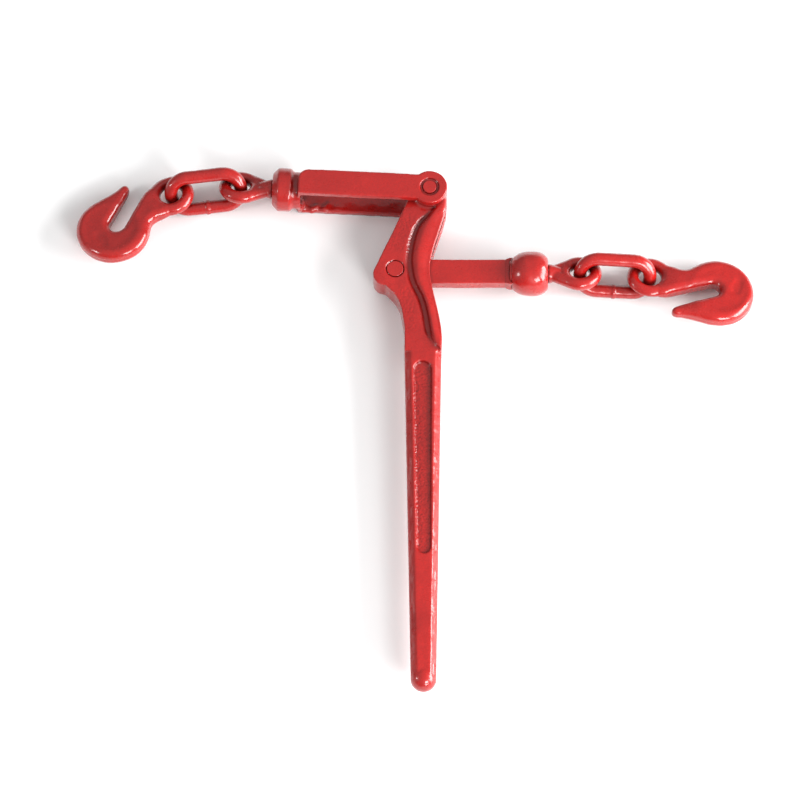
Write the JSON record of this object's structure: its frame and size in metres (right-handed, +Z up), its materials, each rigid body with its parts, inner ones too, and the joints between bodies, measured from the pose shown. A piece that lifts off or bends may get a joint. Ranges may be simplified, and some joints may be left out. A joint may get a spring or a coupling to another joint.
{
  "type": "lever load binder",
  "caption": "Over-centre lever load binder: forged lever, two-armed yoke, flat tension bar, and a swivel eye, chain link and grab hook at each end.",
  "frame": {"origin": "centre of the bounding box at its base, as the binder lies on a floor", "axes": "+X along the line of pull towards the tension bar side, +Y from the handle tip towards the yoke, +Z up; the lever and the bar turn about +Z"},
  "size_m": [0.4628, 0.3816, 0.0344],
  "materials": {
    "forged_paint": "glossy red enamel over a forged surface",
    "chain_paint": "glossy red enamel over round wire and forged hooks",
    "rivet_paint": "red enamel over closed rivets",
    "plated_steel": "bare hidden washer"
  },
  "bodies": {
    "yoke": {"yoke": "forged_paint", "yoke_rivet_upper": "rivet_paint", "yoke_rivet_lower": "rivet_paint", "left_swivel_washer": "plated_steel"},
    "lever": {"lever": "forged_paint", "lever_rivet": "rivet_paint"},
    "bar": {"tension_bar": "forged_paint", "ball_socket": "forged_paint", "socket_plug": "forged_paint", "socket_weld": "forged_paint", "right_swivel_washer": "plated_steel"},
    "left_eye": {"left_swivel_eye": "chain_paint"},
    "left_link": {"left_link": "chain_paint"},
    "left_hook": {"left_hook": "chain_paint"},
    "right_eye": {"right_swivel_eye": "chain_paint"},
    "right_link": {"right_link": "chain_paint"},
    "right_hook": {"right_hook": "chain_paint"}
  },
  "joints": [
    {"name": "lever_swing", "type": "hinge", "parent": "yoke", "child": "lever", "pos_m": [0.0105, 0.17024, 0.0172], "axis": [0, 0, 1], "range_deg": [-72, 48]},
    {"name": "bar_swing", "type": "hinge", "parent": "lever", "child": "bar", "pos_m": [-0.0131, 0.11274, 0.0172], "axis": [0, 0, 1], "range_deg": [-48, 72]},
    {"name": "left_swivel", "type": "hinge", "parent": "yoke", "child": "left_eye", "pos_m": [-0.09685, 0.17587, 0.0172], "axis": [-0.9986, 0.0523, 0], "continuous": true},
    {"name": "left_link_swing", "type": "hinge", "parent": "left_eye", "child": "left_link", "pos_m": [-0.11862, 0.17701, 0.0172], "axis": [0.0246, 0.4688, 0.8829], "range_deg": [-50, 50]},
    {"name": "left_hook_swing", "type": "hinge", "parent": "left_link", "child": "left_hook", "pos_m": [-0.16628, 0.17309, 0.01302], "axis": [-0.1424, 0.196, 0.9702], "range_deg": [-85, 30]},
    {"name": "right_swivel", "type": "hinge", "parent": "bar", "child": "right_eye", "pos_m": [0.0909, 0.11274, 0.0172], "axis": [1, 0, 0], "continuous": true},
    {"name": "right_link_swing", "type": "hinge", "parent": "right_eye", "child": "right_link", "pos_m": [0.1127, 0.11274, 0.0172], "axis": [0, 0.4067, 0.9135], "range_deg": [-50, 50]},
    {"name": "right_hook_swing", "type": "hinge", "parent": "right_link", "child": "right_hook", "pos_m": [0.1605, 0.11149, 0.01302], "axis": [0.0745, 0.2306, 0.9702], "range_deg": [-50, 60]}
  ]
}
